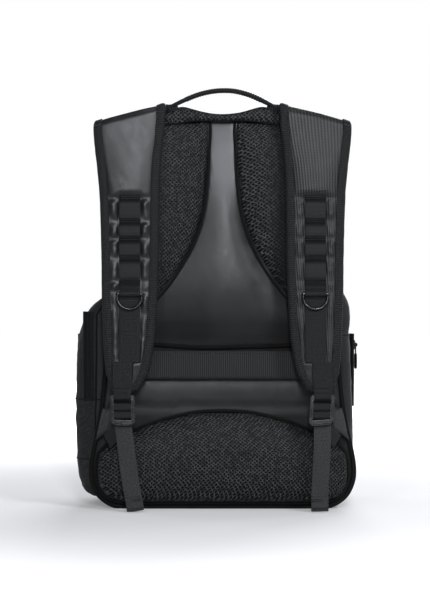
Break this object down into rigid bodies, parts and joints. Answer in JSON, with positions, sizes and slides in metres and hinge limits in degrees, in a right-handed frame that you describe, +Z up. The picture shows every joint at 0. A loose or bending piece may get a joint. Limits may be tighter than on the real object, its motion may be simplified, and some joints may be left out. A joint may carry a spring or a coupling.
{
  "type": "racket backpack",
  "caption": "Padded court-sports backpack with clamshell front, contoured shoulder straps, ladder-lock adjusters, side pockets and a luggage pass-through band.",
  "frame": {"origin": "middle of the base rest face, on the floor", "axes": "+Z up, -Y towards the wearer (strap side), +X to the right seen from the strap side"},
  "size_m": [0.349, 0.2409, 0.5091],
  "materials": {
    "coated_fabric": "smooth coated weave, satin",
    "body_fabric": "ripstop weave, matt",
    "boot_fabric": "coated base fabric",
    "air_mesh": "padded spacer mesh",
    "trim_tape": "binding and zip tape",
    "webbing": "ribbed webbing",
    "plastic": "moulded, satin",
    "ring_metal": "black coated wire, gloss",
    "slider_metal": "black coated",
    "pull_cord": "moulded tab"
  },
  "bodies": {
    "pack": {"back_panel": "coated_fabric", "frame_sheet": "plastic", "side_wall_left": "body_fabric", "side_wall_right": "body_fabric", "top_wall": "body_fabric", "base_boot": "boot_fabric", "base_skid": "plastic", "sleeve_divider": "body_fabric", "upper_pad_left": "air_mesh", "upper_pad_right": "air_mesh", "lumbar_pad": "air_mesh", "neck_collar": "air_mesh", "back_piping": "trim_tape", "trolley_band": "webbing", "strap_root_left": "coated_fabric", "strap_root_right": "coated_fabric", "wing_left": "body_fabric", "wing_right": "body_fabric", "anchor_web_left": "webbing", "anchor_web_right": "webbing", "side_pocket_left": "body_fabric", "side_pocket_right": "body_fabric", "side_zip_left": "trim_tape", "side_zip_right": "trim_tape", "main_zip_rear": "trim_tape"},
    "front": {"front_shell": "body_fabric", "main_zip_front": "trim_tape", "front_pocket": "body_fabric", "front_pocket_zip": "trim_tape"},
    "handle": {"haul_handle": "webbing"},
    "strap_left": {"strap_pad_left": "coated_fabric", "strap_lining_left": "air_mesh", "strap_binding_left": "trim_tape", "strap_webbing_left": "webbing", "strap_end_tab_left": "webbing"},
    "ring_left": {"d_ring_left": "ring_metal"},
    "lock_left": {"ladder_lock_left": "plastic", "lock_wrap_left": "webbing"},
    "tail_left": {"tail_left": "webbing"},
    "strap_right": {"strap_pad_right": "coated_fabric", "strap_lining_right": "air_mesh", "strap_binding_right": "trim_tape", "strap_webbing_right": "webbing", "strap_end_tab_right": "webbing"},
    "ring_right": {"d_ring_right": "ring_metal"},
    "lock_right": {"ladder_lock_right": "plastic", "lock_wrap_right": "webbing"},
    "tail_right": {"tail_right": "webbing"},
    "main_slider_left": {"main_slider_left": "slider_metal"},
    "main_pull_left": {"main_pull_left": "pull_cord"},
    "main_slider_right": {"main_slider_right": "slider_metal"},
    "main_pull_right": {"main_pull_right": "pull_cord"},
    "side_slider_left": {"side_slider_left": "slider_metal"},
    "side_pull_left": {"side_pull_left": "pull_cord"},
    "side_slider_right": {"side_slider_right": "slider_metal"},
    "side_pull_right": {"side_pull_right": "pull_cord"},
    "front_slider": {"front_slider": "slider_metal"},
    "front_pull": {"front_pull": "pull_cord"}
  },
  "joints": [
    {"name": "front_open", "type": "hinge", "parent": "pack", "child": "front", "pos_m": [0, 0.08, 0.043], "axis": [-1, 0, 0], "range_deg": [0, 75]},
    {"name": "handle_swing", "type": "hinge", "parent": "pack", "child": "handle", "pos_m": [0, -0.09, 0.4845], "axis": [1, 0, 0], "range_deg": [-50, 50], "stiffness_Nm_per_rad": 0.01},
    {"name": "strap_swing_left", "type": "hinge", "parent": "pack", "child": "strap_left", "pos_m": [-0.112, -0.098, 0.469], "axis": [-0.9688, 0, -0.248], "range_deg": [0, 25], "deforming": ["anchor_web_left"]},
    {"name": "ring_swing_left", "type": "hinge", "parent": "strap_left", "child": "ring_left", "pos_m": [-0.111, -0.12503, 0.26126], "axis": [-1, 0, 0], "range_deg": [0, 140]},
    {"name": "lock_swing_left", "type": "hinge", "parent": "strap_left", "child": "lock_left", "pos_m": [-0.1195, -0.12678, 0.13774], "axis": [-1, 0, 0], "range_deg": [0, 60]},
    {"name": "tail_draw_left", "type": "slide", "parent": "lock_left", "child": "tail_left", "axis": [-0.1392, 0, 0.9903], "range_m": [0, 0.024]},
    {"name": "strap_swing_right", "type": "hinge", "parent": "pack", "child": "strap_right", "pos_m": [0.112, -0.098, 0.469], "axis": [-0.9688, 0, 0.248], "range_deg": [0, 25], "deforming": ["anchor_web_right"]},
    {"name": "ring_swing_right", "type": "hinge", "parent": "strap_right", "child": "ring_right", "pos_m": [0.111, -0.12503, 0.26126], "axis": [-1, 0, 0], "range_deg": [0, 140]},
    {"name": "lock_swing_right", "type": "hinge", "parent": "strap_right", "child": "lock_right", "pos_m": [0.1195, -0.12678, 0.13774], "axis": [-1, 0, 0], "range_deg": [0, 60]},
    {"name": "tail_draw_right", "type": "slide", "parent": "lock_right", "child": "tail_right", "axis": [0.0262, 0, 0.9997], "range_m": [0, 0.024]},
    {"name": "main_zip_run_left", "type": "slide", "parent": "pack", "child": "main_slider_left", "axis": [-1, 0, 0], "range_m": [0, 0.05]},
    {"name": "main_pull_flip_left", "type": "hinge", "parent": "main_slider_left", "child": "main_pull_left", "pos_m": [-0.011, 0.008, 0.468], "axis": [0, 1, 0], "range_deg": [0, 150]},
    {"name": "main_zip_run_right", "type": "slide", "parent": "pack", "child": "main_slider_right", "axis": [1, 0, 0], "range_m": [0, 0.05]},
    {"name": "main_pull_flip_right", "type": "hinge", "parent": "main_slider_right", "child": "main_pull_right", "pos_m": [0.011, 0.008, 0.468], "axis": [0, -1, 0], "range_deg": [0, 150]},
    {"name": "side_zip_run_left", "type": "slide", "parent": "pack", "child": "side_slider_left", "axis": [0, 0, -1], "range_m": [0, 0.065]},
    {"name": "side_pull_flip_left", "type": "hinge", "parent": "side_slider_left", "child": "side_pull_left", "pos_m": [-0.17691, -0.00095, 0.196], "axis": [0.7682, 0.6402, 0], "range_deg": [0, 150]},
    {"name": "side_zip_run_right", "type": "slide", "parent": "pack", "child": "side_slider_right", "axis": [0, 0, -1], "range_m": [0, 0.065]},
    {"name": "side_pull_flip_right", "type": "hinge", "parent": "side_slider_right", "child": "side_pull_right", "pos_m": [0.16657, -0.00362, 0.196], "axis": [0.376, -0.9266, 0], "range_deg": [0, 150]},
    {"name": "front_zip_run", "type": "slide", "parent": "front", "child": "front_slider", "axis": [-1, 0, 0], "range_m": [0, 0.13]},
    {"name": "front_pull_flip", "type": "hinge", "parent": "front_slider", "child": "front_pull", "pos_m": [0.07, 0.10705, 0.25272], "axis": [0, 0.1478, -0.989], "range_deg": [0, 150]}
  ]
}
